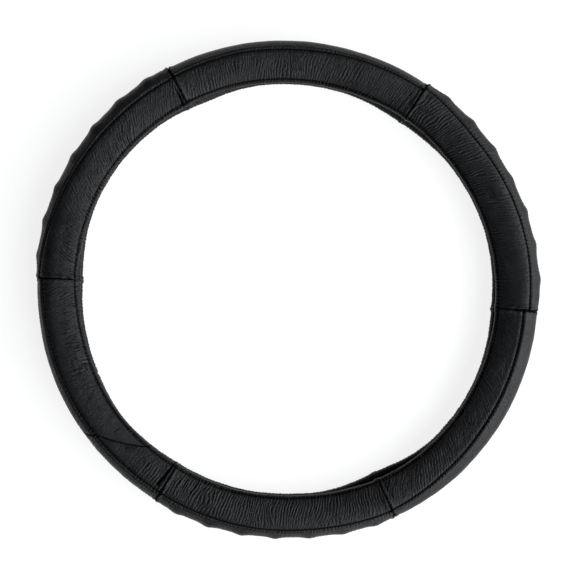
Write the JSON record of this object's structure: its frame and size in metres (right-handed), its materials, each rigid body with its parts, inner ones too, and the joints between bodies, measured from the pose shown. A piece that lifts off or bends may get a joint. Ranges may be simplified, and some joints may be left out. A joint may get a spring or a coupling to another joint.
{
  "type": "steering wheel cover",
  "caption": "Steering wheel cover: sewn black leather panels over a rubber ring of C section that opens towards the centre, with padded finger grips along parts of its outer edge.",
  "frame": {"origin": "centre of the ring, in the middle of its tube", "axes": "+Z along the ring's axis, out of its front face; +Y towards the top of the front face; the cover lies flat on its back"},
  "size_m": [0.3887, 0.3841, 0.031],
  "materials": {
    "leather": "soft satin, finely grained, wrinkled",
    "rubber_liner": "matte",
    "foam": "matte open-cell foam",
    "thread": "twisted, slightly waxed"
  },
  "bodies": {
    "root": {"rubber_core": "rubber_liner", "front_panel_upper_right": "leather", "front_panel_top": "leather", "front_panel_upper_left": "leather", "front_panel_lower_left": "leather", "front_panel_lower_left_patch": "leather", "front_panel_bottom": "leather", "front_panel_lower_right": "leather", "back_panel_upper_right": "leather", "back_panel_top": "leather", "back_panel_upper_left": "leather", "back_panel_lower_left": "leather", "back_panel_lower_left_patch": "leather", "back_panel_bottom": "leather", "back_panel_lower_right": "leather", "grip_pad_upper_right": "foam", "grip_pad_upper_left": "foam", "grip_pad_bottom": "foam", "seam_thread_upper_right": "thread", "seam_thread_top": "thread", "seam_thread_upper_left": "thread", "seam_thread_lower_left": "thread", "seam_thread_bottom": "thread", "seam_thread_lower_right": "thread", "joint_thread_upper_right": "thread", "joint_thread_top": "thread", "joint_thread_upper_left": "thread", "joint_thread_lower_left": "thread", "joint_thread_bottom": "thread", "joint_thread_lower_right": "thread", "splice_thread_front": "thread", "splice_thread_back": "thread", "front_hem_thread": "thread", "back_hem_thread": "thread"}
  },
  "joints": []
}
